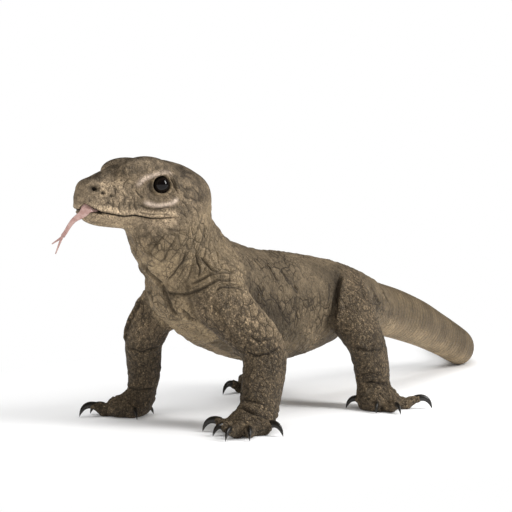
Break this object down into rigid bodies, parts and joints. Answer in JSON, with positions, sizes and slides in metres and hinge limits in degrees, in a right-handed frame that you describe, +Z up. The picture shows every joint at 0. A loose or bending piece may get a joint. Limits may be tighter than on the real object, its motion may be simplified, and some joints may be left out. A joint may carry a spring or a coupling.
{
  "type": "komodo dragon",
  "caption": "Still life-size young komodo dragon standing on four clawed feet, head raised, forked tongue out, long tail laid on the floor.",
  "frame": {"origin": "on the floor under the middle of the animal's bounding box", "axes": "+X is the animal's left, -Y is where its trunk faces, +Z is up; the head is turned to its right"},
  "size_m": [0.4026, 1.119, 0.3088],
  "materials": {
    "hide": "dry scaly hide, grey-brown, matt; paler lips and eyelids, darker legs",
    "claw_horn": "dark horn, satin",
    "eyeball": "wet, near-black iris",
    "tongue_flesh": "moist pink flesh"
  },
  "bodies": {
    "root": {"head": "hide", "lower_jaw": "hide", "eye_left": "eyeball", "eye_right": "eyeball", "tongue": "tongue_flesh", "upper_arm_left": "hide", "forearm_left": "hide", "hand_left": "hide", "claw_hand_left_1": "claw_horn", "claw_hand_left_2": "claw_horn", "claw_hand_left_3": "claw_horn", "claw_hand_left_4": "claw_horn", "claw_hand_left_5": "claw_horn", "upper_arm_right": "hide", "forearm_right": "hide", "hand_right": "hide", "claw_hand_right_1": "claw_horn", "claw_hand_right_2": "claw_horn", "claw_hand_right_3": "claw_horn", "claw_hand_right_4": "claw_horn", "claw_hand_right_5": "claw_horn", "thigh_left": "hide", "shank_left": "hide", "foot_left": "hide", "claw_foot_left_1": "claw_horn", "claw_foot_left_2": "claw_horn", "claw_foot_left_3": "claw_horn", "claw_foot_left_4": "claw_horn", "claw_foot_left_5": "claw_horn", "thigh_right": "hide", "shank_right": "hide", "foot_right": "hide", "claw_foot_right_1": "claw_horn", "claw_foot_right_2": "claw_horn", "claw_foot_right_3": "claw_horn", "claw_foot_right_4": "claw_horn", "claw_foot_right_5": "claw_horn", "neck": "hide", "chest": "hide", "belly": "hide", "pelvis": "hide", "tail_1": "hide", "tail_2": "hide", "tail_3": "hide", "tail_4": "hide", "tail_5": "hide", "tail_6": "hide"}
  },
  "joints": []
}
